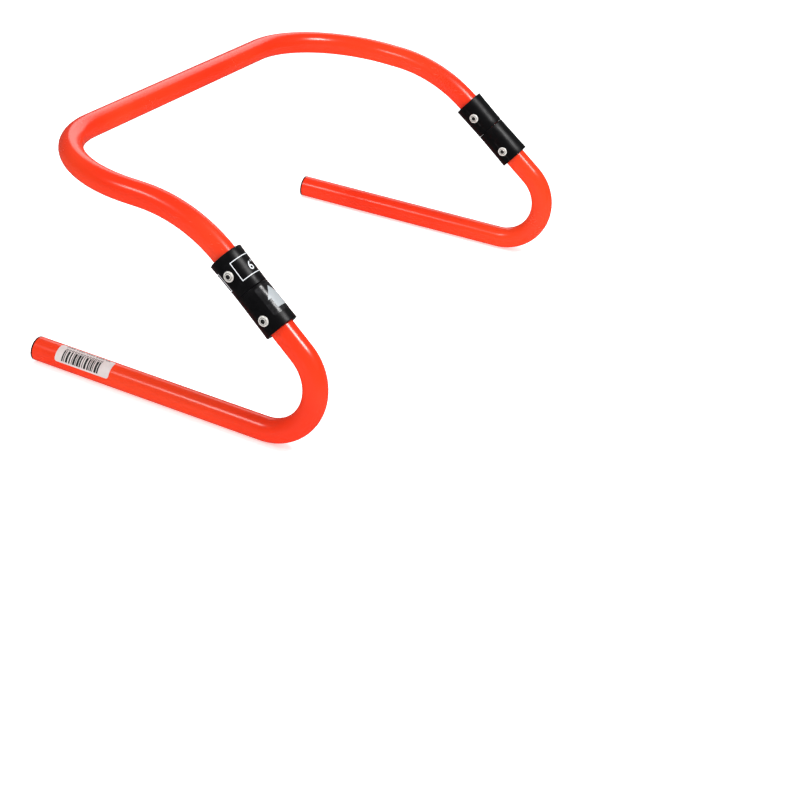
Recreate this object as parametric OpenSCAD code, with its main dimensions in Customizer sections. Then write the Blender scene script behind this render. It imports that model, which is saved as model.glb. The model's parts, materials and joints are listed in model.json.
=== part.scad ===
// Height-adjustable agility hurdle. One bent arch tube stands on two bent foot tubes.
// A two-part sleeve joins the tubes at each leg. The foot turns half a turn in it,
// from the low height (drawn here) to the high height.
// Axes: +X to the leg with the height marks, +Y from the foot tips to the foot bends,
// +Z up. The origin is at the bottom centre of the bounding box. Millimetres, degrees.

/* [Tube] */
// Outside diameter of the round tube
tube_od = 19; // [17:0.5:20]
// Wall thickness of the tube
tube_wall = 1.8; // [1.5:0.1:2]

/* [Arch] */
// Distance between the two corner points of the crossbar, on the centreline
bar_w = 456; // [400:2:520]
// Length of the shoulder, from the bar corner point to the leg corner point
shoulder_len = 142; // [136:1:180]
// Slope of the shoulder below level, at the low height
shoulder_slope = 2; // [0:0.5:6]
// Bend radius of the bar corner, on the centreline
corner_radius = 90; // [70:1:94]
// Bend radius between the shoulder and the leg, on the centreline
shoulder_radius = 125; // [100:1:127]

/* [Leg and foot] */
// Length of the leg, from the shoulder corner point to the foot corner point
leg_len = 240; // [236:1:280]
// Slope of the leg above the floor, at the low height
leg_slope = 38; // [36:0.5:42]
// Outward lean of each leg
leg_splay = 3; // [1:0.5:5]
// Length of the foot, from its corner point to its tip
foot_len = 313; // [290:1:330]
// Bend radius between the leg and the foot, on the centreline
foot_radius = 38; // [34:1:40]

/* [Sleeves] */
// Outside diameter of a sleeve half at the gap
sleeve_od = 25.6; // [25:0.2:26]
// Outside diameter of a sleeve half at its far end
sleeve_end_od = 26.8; // [26:0.2:28]
// Distance from the gap's middle to the upper end of the sleeve
upper_sleeve_len = 31; // [28:0.5:31]
// Distance from the gap's middle to the lower end of the sleeve
lower_sleeve_len = 34.5; // [32:0.5:38]
// Gap between the two sleeve halves
seam_gap = 0.6; // [0.4:0.1:1]
// Distance from the shoulder corner point to the gap
seam_from_shoulder = 72; // [72:0.5:76]

/* [Rivets] */
// Diameter of a rivet head
rivet_head_d = 8.2; // [7.8:0.1:8.8]
// Diameter of a rivet shank
rivet_d = 4; // [3.6:0.1:4.2]
// Distance from the gap to a rivet of the upper half
upper_rivet_from_seam = 16.5; // [15:0.5:18]
// Distance from the gap to a rivet of the lower half
lower_rivet_from_seam = 23.5; // [22:0.5:25]

/* [Caps and label] */
// Thickness of the end cap's rim outside the tube
cap_rim = 1.5; // [1:0.1:2.5]
// Length of the end cap's plug inside the tube
cap_plug = 12; // [8:1:20]
// Length of the label along the foot
label_len = 49; // [40:1:60]
// Angle that the label wraps round the foot
label_wrap = 96; // [60:2:150]
// Turn of the label's middle from the top of the foot, away from the other foot
label_turn = 40; // [15:1:45]
// Distance from the foot's tip to the label
label_from_tip = 22.5; // [10:0.5:30]

/* [Hidden] */
$fn = 96;

// Clearances
fit_gap = 0.05;      // radial, sleeve on tube, core in tube and rivet in hole
tail_gap = 0.5;      // rivet tail to the sides and floor of the core's groove
cut = 1;             // how far a cutter runs past what it cuts

// A bend's wall is thicker than a straight's by this much on each face, and each
// straight runs this far into the bend, so that the two overlap cleanly
bend_swell = 0.01;
bend_lap = 0.1;

// Radii that follow from the tube and the sleeve
tube_r = tube_od / 2;
bore_r = tube_r - tube_wall;
sleeve_r = sleeve_od / 2;
sleeve_end_r = sleeve_end_od / 2;
core_r = bore_r - fit_gap;

// Sleeve edges
edge = 0.4;

// Swivel: each tube ends in a tongue that fills about a quarter of the ring between
// the tubes, so the foot turns half a turn from one stop to the other
tongue_angle = 88;
tongue_play = 2;
ring_half = 3;       // half the height of the ring that the tongues share
tongue_end_gap = 0.2;
tongue_start = 45;   // where the arch's tongue starts, from the outward direction

// Core
core_top = 24;
core_bottom = 31;
core_bore_r = 4.6;
core_bore_floor = 10;

// Rivets
head_h = 1.5;
head_rim_h = 0.5;
head_crown_r = 2.4;  // flat middle of the head
head_brow_r = 3.6;   // where the dome turns down to the rim
head_brow_drop = 0.35;
head_sunk = 0.2;     // depth, at the gap's diameter, of the flat that seats the head
mandrel_r = 1.05;
mandrel_recess = 1.1;
tail_r = 2.8;
tail_len = 2.6;
tail_taper = 0.6;
mandrel_head_r = 1.7;
mandrel_head_len = 1.2;

// Caps and label
cap_wall = 1.6;
cap_edge = 0.4;
label_t = 0.12;
label_glue = 0.03;

// --- Directions and corner points of the right half ---
function unit(v) = v / norm(v);
function across(v, along) = unit(v - (v * along) * along);

shoulder_dir = [0, cos(shoulder_slope), -sin(shoulder_slope)];
leg_dir = [
    sin(leg_splay),
    cos(leg_splay) * cos(leg_slope),
    -cos(leg_splay) * sin(leg_slope)
];
// The foot folds back under the leg by this angle, which lays it level on the floor
foot_fold = atan(cos(leg_splay) * tan(leg_slope));
foot_dir = [
    -cos(foot_fold) * leg_dir.x,
    -cos(foot_fold) * leg_dir.y - sin(foot_fold) * sin(leg_slope),
    0
];

bar_z = tube_r - shoulder_len * shoulder_dir.z - leg_len * leg_dir.z;
// Distance from the bar to the furthest point of the foot bends, along Y
foot_turn = acos(leg_dir * foot_dir);
foot_setback = foot_radius * tan(foot_turn / 2);
bend_side = across(foot_dir, leg_dir);
bend_centre_y = shoulder_len * shoulder_dir.y
    + (leg_len - foot_setback) * leg_dir.y + foot_radius * bend_side.y;
bend_reach_y = foot_radius * norm([leg_dir.y, bend_side.y]);
bar_y = -(bend_centre_y + bend_reach_y) / 2;

bar_corner = [bar_w / 2, bar_y, bar_z];
leg_corner = bar_corner + shoulder_len * shoulder_dir;
foot_corner = leg_corner + leg_len * leg_dir;
foot_tip = foot_corner + foot_len * foot_dir;
seam_point = leg_corner + seam_from_shoulder * leg_dir;

function mirrored(p) = [-p.x, p.y, p.z];

// --- Placing ---
// Puts local Z along z_dir and local X as near x_dir as it can be, at origin
module placed(origin, z_dir, x_dir) {
    z = unit(z_dir);
    x = across(x_dir, z);
    y = cross(z, x);
    multmatrix([
        [x.x, y.x, z.x, origin.x],
        [x.y, y.y, z.y, origin.y],
        [x.z, y.z, z.z, origin.z],
        [0, 0, 0, 1]
    ]) children();
}

// Right leg's own frame: origin in the gap between the sleeves, +Z up the leg, +X outwards
module at_right_leg() {
    placed(seam_point, -leg_dir, [1, 0, 0]) children();
}

// Right foot's own frame: origin at the tip, +Z out of the tip, +X up
module at_right_tip() {
    placed(foot_tip, foot_dir, [0, 0, 1]) children();
}

// Turns a part of the right side into the left one
module left_side() {
    mirror([1, 0, 0]) children();
}

// --- Bent tube: straights and bends along corner points ---
function turn_at(points, i) =
    acos(unit(points[i] - points[i - 1]) * unit(points[i + 1] - points[i]));
function setback_at(points, radii, i) =
    (i == 0 || i == len(points) - 1) ? 0 : radii[i - 1] * tan(turn_at(points, i) / 2);

module tube_straight(from, to) {
    along = unit(to - from);
    side = abs(along.x) > 0.9 ? [0, 0, 1] : [1, 0, 0];
    placed(from, along, side) difference() {
        cylinder(r = tube_r, h = norm(to - from));
        translate([0, 0, -cut]) cylinder(r = bore_r, h = norm(to - from) + 2 * cut);
    }
}

module tube_bend(points, radii, i) {
    along = unit(points[i] - points[i - 1]);
    inward = across(points[i + 1] - points[i], along);
    radius = radii[i - 1];
    centre = points[i] - setback_at(points, radii, i) * along + radius * inward;
    placed(centre, cross(-inward, along), -inward)
        rotate_extrude(angle = turn_at(points, i)) translate([radius, 0]) difference() {
            circle(r = tube_r + bend_swell);
            circle(r = bore_r - bend_swell);
        }
}

module bent_tube(points, radii) {
    last = len(points) - 1;
    for (i = [0 : last - 1]) {
        along = unit(points[i + 1] - points[i]);
        lap_before = i == 0 ? 0 : bend_lap;
        lap_after = i == last - 1 ? 0 : bend_lap;
        tube_straight(
            points[i] + (setback_at(points, radii, i) - lap_before) * along,
            points[i + 1] - (setback_at(points, radii, i + 1) - lap_after) * along
        );
    }
    for (i = [1 : last - 1]) tube_bend(points, radii, i);
}

// Cuts all of a ring except one tongue that starts at the given angle
module tongue_cutter(start) {
    rotate([0, 0, start + tongue_angle])
        rotate_extrude(angle = 360 - tongue_angle)
            translate([bore_r - cut, -ring_half - cut])
                square([tube_wall + 2 * cut, 2 * ring_half + cut]);
}

// --- Holes for the rivets, in the leg's frame; end is 1 in the upper half, -1 in the lower ---
function rivet_z(end) = end > 0 ? upper_rivet_from_seam : -lower_rivet_from_seam;

module rivet_holes(end) {
    translate([-sleeve_end_r - cut, 0, rivet_z(end)])
        rotate([0, 90, 0])
            cylinder(r = rivet_d / 2 + fit_gap, h = 2 * (sleeve_end_r + cut));
}

// Flats in the sleeve that the rivet heads sit on
module rivet_seats(end) {
    for (face = [0, 180])
        rotate([0, 0, face])
            translate([sleeve_r - head_sunk, 0, rivet_z(end)])
                rotate([0, 90, 0])
                    cylinder(r = rivet_head_d / 2 + 2 * fit_gap, h = sleeve_end_r - sleeve_r + cut);
}

// --- Tubes ---
module arch_end_cuts() {
    at_right_leg() {
        tongue_cutter(tongue_start);
        rivet_holes(1);
    }
}

module arch_tube() {
    arch_end = seam_point + (ring_half - tongue_end_gap) * leg_dir;
    points = [
        arch_end, leg_corner, bar_corner,
        mirrored(bar_corner), mirrored(leg_corner), mirrored(arch_end)
    ];
    radii = [shoulder_radius, corner_radius, corner_radius, shoulder_radius];
    color("orangered") difference() {
        bent_tube(points, radii);
        arch_end_cuts();
        left_side() arch_end_cuts();
    }
}

module right_foot_tube() {
    foot_start = seam_point - (ring_half - tongue_end_gap) * leg_dir;
    points = [foot_start, foot_corner, foot_tip - cap_rim * foot_dir];
    color("orangered") difference() {
        bent_tube(points, [foot_radius]);
        at_right_leg() {
            mirror([0, 0, 1])
                tongue_cutter(tongue_start + tongue_angle + tongue_play);
            rivet_holes(-1);
        }
    }
}

// --- Sleeves and core ---
module sleeve_half(end) {
    top = end > 0 ? upper_sleeve_len : lower_sleeve_len;
    low = seam_gap / 2;
    inner = tube_r + fit_gap;
    difference() {
        mirror([0, 0, end > 0 ? 0 : 1]) rotate_extrude() polygon([
            [inner, low],
            [sleeve_r - edge, low],
            [sleeve_r, low + edge],
            [sleeve_end_r, top - edge],
            [sleeve_end_r - edge, top],
            [inner, top]
        ]);
        rivet_holes(end);
        rivet_seats(end);
    }
}

module right_upper_sleeve() {
    color([0.06, 0.06, 0.065]) at_right_leg() sleeve_half(1);
}

module right_lower_sleeve() {
    color([0.06, 0.06, 0.065]) at_right_leg() sleeve_half(-1);
}

// Fixed in the arch by its rivets. The foot turns on its lower half, and the tails of
// the foot's rivets run in its groove, which keeps the two from pulling apart.
module right_pivot_core() {
    groove_half = tail_r + tail_gap;
    groove_floor = tail_seat(bore_r) - tail_len - tail_gap;
    groove_z = rivet_z(-1);
    color("ivory") at_right_leg() difference() {
        rotate_extrude() polygon([
            [0, -core_bottom],
            [core_r - edge, -core_bottom],
            [core_r, -core_bottom + edge],
            [core_r, groove_z - groove_half],
            [groove_floor, groove_z - groove_half],
            [groove_floor, groove_z + groove_half],
            [core_r, groove_z + groove_half],
            [core_r, core_top - edge],
            [core_r - edge, core_top],
            [core_bore_r, core_top],
            [core_bore_r, core_bore_floor],
            [0, core_bore_floor]
        ]);
        rivet_holes(1);
    }
}

// --- Rivets: +Z is out of the head, and 0 is on the leg's axis ---
// Height of a tail's flat top when its rim is just clear of a round wall of this radius
function tail_seat(wall_r) =
    sqrt(wall_r * wall_r - (tail_r - tail_taper) * (tail_r - tail_taper)) - fit_gap;

// The tail grips at the given height
module rivet_body(grip) {
    seat = sleeve_r - head_sunk;
    hole = mandrel_r + fit_gap;
    head_r = rivet_head_d / 2;
    shank = rivet_d / 2;
    rotate_extrude() polygon([
        [hole, seat + head_h],
        [head_crown_r, seat + head_h],
        [head_brow_r, seat + head_h - head_brow_drop],
        [head_r, seat + head_rim_h],
        [head_r, seat],
        [shank, seat],
        [shank, grip],
        [tail_r - tail_taper, grip],
        [tail_r, grip - tail_taper],
        [tail_r, grip - tail_len + tail_taper],
        [tail_r - tail_taper, grip - tail_len],
        [mandrel_head_r + fit_gap, grip - tail_len],
        [mandrel_head_r + fit_gap, grip - tail_len + mandrel_head_len],
        [hole, grip - tail_len + mandrel_head_len]
    ]);
}

module mandrel_body(grip) {
    seat = sleeve_r - head_sunk;
    end = grip - tail_len;
    rotate_extrude() polygon([
        [0, end],
        [mandrel_head_r, end],
        [mandrel_head_r, end + mandrel_head_len - fit_gap],
        [mandrel_r, end + mandrel_head_len - fit_gap],
        [mandrel_r, seat + head_h - mandrel_recess],
        [0, seat + head_h - mandrel_recess]
    ]);
}

// end is 1 in the upper half and -1 in the lower; face is 0 outwards and 180 inwards
module at_right_rivet(end, face) {
    at_right_leg()
        rotate([0, 0, face])
            translate([0, 0, rivet_z(end)])
                rotate([0, 90, 0]) children();
}

function grip_height(end) = tail_seat(end > 0 ? core_bore_r : bore_r);

module right_rivet(end, face) {
    color("silver") at_right_rivet(end, face) rivet_body(grip_height(end));
}

module right_mandrel(end, face) {
    color("dimgray") at_right_rivet(end, face) mandrel_body(grip_height(end));
}

// --- Cap and label ---
module right_end_cap() {
    plug_r = bore_r - fit_gap;
    color([0.06, 0.06, 0.065]) at_right_tip() rotate_extrude() polygon([
        [0, 0],
        [tube_r - cap_edge, 0],
        [tube_r, -cap_edge],
        [tube_r, -cap_rim],
        [plug_r, -cap_rim],
        [plug_r, -cap_rim - cap_plug],
        [plug_r - cap_wall, -cap_rim - cap_plug],
        [plug_r - cap_wall, -cap_rim - cap_wall],
        [0, -cap_rim - cap_wall]
    ]);
}

module barcode_label() {
    color("white") at_right_tip()
        rotate([0, 0, -label_turn - label_wrap / 2])
            rotate_extrude(angle = label_wrap)
                translate([tube_r + label_glue, -label_from_tip - label_len])
                    square([label_t, label_len]);
}

arch_tube();
right_upper_sleeve();
left_side() right_upper_sleeve();  // left_upper_sleeve
right_pivot_core();
left_side() right_pivot_core();  // left_pivot_core
right_rivet(1, 0);  // right_upper_outer_rivet
right_rivet(1, 180);  // right_upper_inner_rivet
left_side() right_rivet(1, 0);  // left_upper_outer_rivet
left_side() right_rivet(1, 180);  // left_upper_inner_rivet
right_mandrel(1, 0);  // right_upper_outer_mandrel
right_mandrel(1, 180);  // right_upper_inner_mandrel
left_side() right_mandrel(1, 0);  // left_upper_outer_mandrel
left_side() right_mandrel(1, 180);  // left_upper_inner_mandrel
right_foot_tube();
left_side() right_foot_tube();  // left_foot_tube
right_lower_sleeve();
left_side() right_lower_sleeve();  // left_lower_sleeve
right_rivet(-1, 0);  // right_lower_outer_rivet
right_rivet(-1, 180);  // right_lower_inner_rivet
left_side() right_rivet(-1, 0);  // left_lower_outer_rivet
left_side() right_rivet(-1, 180);  // left_lower_inner_rivet
right_mandrel(-1, 0);  // right_lower_outer_mandrel
right_mandrel(-1, 180);  // right_lower_inner_mandrel
left_side() right_mandrel(-1, 0);  // left_lower_outer_mandrel
left_side() right_mandrel(-1, 180);  // left_lower_inner_mandrel
right_end_cap();
left_side() right_end_cap();  // left_end_cap
barcode_label();
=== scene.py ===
"""Looks of the agility hurdle: a bent-tube arch on two feet that turn in riveted sleeves."""

from __future__ import annotations

import json
import logging
import math
from dataclasses import dataclass, field
from enum import Enum
from typing import Callable, ClassVar, Sequence

import bpy
from mathutils import Matrix, Vector

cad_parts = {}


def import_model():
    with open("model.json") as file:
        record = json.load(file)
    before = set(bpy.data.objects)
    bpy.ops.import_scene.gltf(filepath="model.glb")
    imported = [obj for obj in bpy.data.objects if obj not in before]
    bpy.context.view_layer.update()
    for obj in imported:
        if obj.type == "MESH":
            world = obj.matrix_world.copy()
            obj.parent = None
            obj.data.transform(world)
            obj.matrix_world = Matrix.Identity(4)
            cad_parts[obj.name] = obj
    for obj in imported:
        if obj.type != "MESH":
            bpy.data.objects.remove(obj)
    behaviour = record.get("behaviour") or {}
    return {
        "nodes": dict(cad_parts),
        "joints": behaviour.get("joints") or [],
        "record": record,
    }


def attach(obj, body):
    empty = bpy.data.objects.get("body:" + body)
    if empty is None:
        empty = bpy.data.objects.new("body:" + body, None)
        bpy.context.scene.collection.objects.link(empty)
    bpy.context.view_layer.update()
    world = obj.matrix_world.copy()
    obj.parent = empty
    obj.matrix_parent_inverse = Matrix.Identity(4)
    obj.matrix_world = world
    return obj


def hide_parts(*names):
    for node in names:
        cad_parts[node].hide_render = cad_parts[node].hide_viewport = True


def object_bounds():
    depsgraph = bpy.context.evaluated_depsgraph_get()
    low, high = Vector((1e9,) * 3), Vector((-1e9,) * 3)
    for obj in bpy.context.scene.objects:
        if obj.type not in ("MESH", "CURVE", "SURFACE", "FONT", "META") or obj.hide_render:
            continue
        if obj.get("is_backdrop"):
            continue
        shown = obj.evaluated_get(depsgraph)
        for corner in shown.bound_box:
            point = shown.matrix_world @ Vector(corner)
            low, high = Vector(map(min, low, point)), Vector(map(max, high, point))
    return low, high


log = logging.getLogger("hurdle")

MM = 0.001

# Mesh attribute that marks where the rivets take painted shade: in the hole and in the groove
# round the collar.
PAINTED_SHADE = "grime"

Points = list[tuple[float, float]]


class NamePart(Enum):
    """A choice that is also a word in node names."""

    @property
    def word(self) -> str:
        """The choice's word in node names."""
        return self.name.lower()


class Side(NamePart):
    """The two legs. The value is the sign of X on that side."""

    RIGHT = 1
    LEFT = -1


class Half(NamePart):
    """The two halves of a leg's sleeve. The value is the sign along the leg, up being +1."""

    UPPER = 1
    LOWER = -1


class Face(NamePart):
    """The two faces of a leg that carry a rivet. The value is the turn about the leg."""

    OUTER = 0.0
    INNER = 180.0


def arc(
    centre: tuple[float, float], reach: tuple[float, float], ends: tuple[float, float], steps: int
) -> Points:
    """Points along a part of an ellipse.

    Args:
        centre: Its centre.
        reach: Its two half sizes.
        ends: The first and the last angle, in degrees.
        steps: How many steps there are between them.

    Returns:
        The points, both ends included.
    """
    points = []
    for i in range(steps + 1):
        turn = math.radians(ends[0] + (ends[1] - ends[0]) * i / steps)
        across, up = reach[0] * math.cos(turn), reach[1] * math.sin(turn)
        points.append((centre[0] + across, centre[1] + up))
    return points


def arc_length(degrees: float, radius: float) -> float:
    """Length of an arc."""
    return math.radians(degrees) * radius


# --- Modelling bench ---


def clear_bench() -> None:
    """Leaves edit mode and deselects everything."""
    if bpy.context.object is not None and bpy.context.object.mode != "OBJECT":
        bpy.ops.object.mode_set(mode="OBJECT")
    bpy.ops.object.select_all(action="DESELECT")


@dataclass
class Piece:
    """One mesh on the bench, worked with Blender's modelling tools."""

    WELD: ClassVar[float] = 0.001 * MM
    obj: bpy.types.Object

    @classmethod
    def turned(cls, name: str, profile: Points, segments: int) -> Piece:
        """Turns a profile about Z, by extruding a ring from point to point.

        Args:
            name: The piece's name.
            profile: Its (radius, height) points. If the last one is the first one again, the
                ends are joined. If not, both are capped.
            segments: Edges round each ring.

        Returns:
            The piece.
        """
        radius, height = profile[0]
        clear_bench()
        bpy.ops.mesh.primitive_circle_add(
            vertices=segments, radius=radius, fill_type="NOTHING", location=(0, 0, height)
        )
        piece = cls._adopt(name)
        bpy.ops.object.transform_apply(location=True, rotation=False, scale=False)
        bpy.ops.object.mode_set(mode="EDIT")
        bpy.ops.mesh.select_all(action="SELECT")
        height = piece.limits()[0].z
        for next_radius, next_height in profile[1:]:
            bpy.ops.mesh.extrude_region_move(
                TRANSFORM_OT_translate={"value": (0, 0, next_height - height)}
            )
            grow = next_radius / radius
            bpy.ops.transform.resize(value=(grow, grow, 1.0), center_override=(0, 0, 0))
            radius, height = next_radius, next_height
        if profile[-1] != profile[0]:
            piece._cap_ends()
        bpy.ops.mesh.select_all(action="SELECT")
        if profile[-1] == profile[0]:
            bpy.ops.mesh.remove_doubles(threshold=cls.WELD)
        bpy.ops.mesh.normals_make_consistent(inside=False)
        piece.done()
        return piece

    @classmethod
    def sheet(cls, name: str, width: float, height: float) -> Piece:
        """Starts a flat piece with one rectangle about the origin, facing +Z."""
        clear_bench()
        bpy.ops.mesh.primitive_plane_add(size=1.0)
        piece = cls._adopt(name)
        piece.obj.scale = (width, height, 1.0)
        bpy.ops.object.transform_apply(location=False, rotation=False, scale=True)
        return piece

    @classmethod
    def numeral(cls, name: str, figures: str, height: float, stroke: float) -> Piece:
        """Starts a flat piece with upright figures, centred on the origin.

        Args:
            name: The piece's name.
            figures: The figures to set.
            height: Their height.
            stroke: How much their strokes are fattened on each side.

        Returns:
            The piece.
        """
        clear_bench()
        bpy.ops.object.text_add()
        text = bpy.context.object
        text.data.body = figures
        text.data.offset = stroke / height
        bpy.ops.object.convert(target="MESH")
        piece = cls._adopt(name)
        low, high = piece.limits()
        size = height / (high.y - low.y)
        piece.move(-(low + high) / 2)
        piece.obj.data.transform(Matrix.Diagonal((size, size, 1.0, 1.0)))
        return piece

    @classmethod
    def _adopt(cls, name: str) -> Piece:
        """Names the active object and its mesh."""
        obj = bpy.context.object
        obj.name = name
        obj.data.name = name
        return cls(obj)

    def limits(self) -> tuple[Vector, Vector]:
        """The lowest and the highest corner of the mesh."""
        places = [v.co for v in self.obj.data.vertices]
        low = Vector(min(p[i] for p in places) for i in range(3))
        high = Vector(max(p[i] for p in places) for i in range(3))
        return low, high

    def pick(self) -> None:
        """Makes this piece the only selected one and the active one."""
        clear_bench()
        bpy.context.view_layer.objects.active = self.obj
        self.obj.select_set(True)

    def edit(self) -> None:
        """Goes into edit mode on this piece alone, with all of it selected."""
        self.pick()
        bpy.ops.object.mode_set(mode="EDIT")
        bpy.ops.mesh.select_all(action="SELECT")

    def done(self) -> None:
        """Goes back to object mode."""
        bpy.ops.object.mode_set(mode="OBJECT")

    def _cap_ends(self) -> None:
        """Fills both open ends."""
        bpy.ops.mesh.select_all(action="DESELECT")
        bpy.ops.mesh.select_mode(type="EDGE")
        bpy.ops.mesh.select_non_manifold()
        bpy.ops.mesh.fill_holes(sides=0)
        bpy.ops.mesh.select_mode(type="VERT")

    def slice(self, direction: Vector, step: float) -> None:
        """Cuts a flat piece into strips, so that it can be wrapped round a tube.

        Args:
            direction: The direction in which the cuts follow each other.
            step: The distance between cuts.
        """
        low, high = self.limits()
        first, last = low.dot(direction), high.dot(direction)
        cuts = int((last - first) / step)
        self.edit()
        for i in range(1, cuts + 1):
            bpy.ops.mesh.select_all(action="SELECT")
            bpy.ops.mesh.bisect(
                plane_co=direction * (first + i * (last - first) / (cuts + 1)),
                plane_no=direction,
            )
        self.done()

    def round_corners(self, radius: float, steps: int) -> None:
        """Rounds the corners of a flat piece."""
        self.edit()
        bpy.ops.mesh.bevel(offset=radius, segments=steps, affect="VERTICES")
        self.done()

    def frame_out(self, line: float) -> None:
        """Leaves only a border of a flat piece."""
        self.edit()
        bpy.ops.mesh.inset(thickness=line)
        bpy.ops.mesh.delete(type="FACE")
        self.done()

    def move(self, shift: Vector) -> None:
        """Moves the mesh."""
        self.obj.data.transform(Matrix.Translation(shift))

    def spin(self, degrees: float, axis: str) -> None:
        """Turns the mesh about one axis through the origin."""
        self.obj.data.transform(Matrix.Rotation(math.radians(degrees), 4, axis))

    def put(self, place: Matrix) -> None:
        """Moves the mesh from its own frame into the shared one."""
        self.obj.data.transform(place)
        self.obj.data.update()

    def apply(self, kind: str, **settings: object) -> None:
        """Adds one modifier and applies it.

        Args:
            kind: The modifier's type.
            **settings: Its properties.
        """
        self.pick()
        modifier = self.obj.modifiers.new(kind.title(), kind)
        for key, value in settings.items():
            setattr(modifier, key, value)
        bpy.ops.object.modifier_apply(modifier=modifier.name)

    def carve(self, tool: Piece) -> None:
        """Cuts another piece out of this one and throws the tool away."""
        self.apply("BOOLEAN", operation="DIFFERENCE", solver="EXACT", object=tool.obj)
        bpy.data.objects.remove(tool.obj, do_unlink=True)

    def join(self, others: Sequence[Piece], name: str | None = None) -> Piece:
        """Joins other pieces into this one, and may rename it.

        Args:
            others: The pieces to take in.
            name: The new name, if it changes.

        Returns:
            This piece.
        """
        self.pick()
        for other in others:
            other.obj.select_set(True)
        bpy.ops.object.join()
        if name:
            self.obj.name = name
        return self

    def wrap(self, radius_at: Callable[[float], float], lift: float) -> None:
        """Wraps a flat piece round Z. Its +X runs round, its +Y becomes +Z.

        Args:
            radius_at: The tube's radius at a height.
            lift: Height above the tube.
        """
        for vertex in self.obj.data.vertices:
            across, up, out = vertex.co
            radius = radius_at(up)
            turn = across / radius
            reach = radius + lift + out
            vertex.co = (reach * math.cos(turn), reach * math.sin(turn), up)
        self.obj.data.update()

    def mark(self, attribute: str, amount_at: Callable[[Vector], float]) -> None:
        """Stores an amount at each point, for a material to read.

        Args:
            attribute: The attribute's name.
            amount_at: The amount, from 0 to 1, at a point of the mesh.
        """
        stored = self.obj.data.attributes.new(attribute, "FLOAT", "POINT")
        for vertex, item in zip(self.obj.data.vertices, stored.data):
            item.value = amount_at(vertex.co)

    def smooth(self, angle: float) -> None:
        """Shades smooth, except over edges sharper than this angle."""
        self.pick()
        bpy.ops.object.shade_smooth_by_angle(angle=math.radians(angle))

    def finish(
        self,
        body: str,
        slot: str,
        material: bpy.types.Material,
        replaces: Sequence[str] = (),
    ) -> None:
        """Dresses the piece and hands it to the frame.

        Args:
            body: The CAD body that it moves with.
            slot: The record's material slot. It is not used.
            material: Its finish.
            replaces: The CAD nodes that it stands for.
        """
        self.obj.data.materials.clear()
        self.obj.data.materials.append(material)
        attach(self.obj, body)
        if replaces:
            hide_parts(*replaces)
        log.info("%s: %d faces on %s", self.obj.name, len(self.obj.data.polygons), body)


# --- Shader graph helpers ---


class Value:
    """A number socket that can be used in sums, products and comparisons."""

    def __init__(self, graph: Graph, socket: bpy.types.NodeSocket) -> None:
        """Wraps a socket.

        Args:
            graph: The graph that the socket is in.
            socket: An output socket that carries a number.
        """
        self.graph = graph
        self.socket = socket

    def _maths(self, operation: str, *terms: Value | float) -> Value:
        """Adds one Math node and returns its result."""
        inputs = dict(enumerate(terms))
        node = self.graph.node("ShaderNodeMath", {"operation": operation}, inputs)
        return Value(self.graph, node.outputs[0])

    def __add__(self, other: Value | float) -> Value:
        """self + other."""
        return self._maths("ADD", self, other)

    def __radd__(self, other: float) -> Value:
        """other + self."""
        return self._maths("ADD", other, self)

    def __sub__(self, other: Value | float) -> Value:
        """self - other."""
        return self._maths("SUBTRACT", self, other)

    def __rsub__(self, other: float) -> Value:
        """other - self."""
        return self._maths("SUBTRACT", other, self)

    def __mul__(self, other: Value | float) -> Value:
        """self * other."""
        return self._maths("MULTIPLY", self, other)

    def __rmul__(self, other: float) -> Value:
        """other * self."""
        return self._maths("MULTIPLY", other, self)

    def ramp(self, low: float, high: float) -> Value:
        """0 below low, 1 above high, and a smooth rise between them."""
        node = self.graph.node(
            "ShaderNodeMapRange",
            {"interpolation_type": "SMOOTHSTEP"},
            {"Value": self, "From Min": low, "From Max": high},
        )
        return Value(self.graph, node.outputs["Result"])


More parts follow.
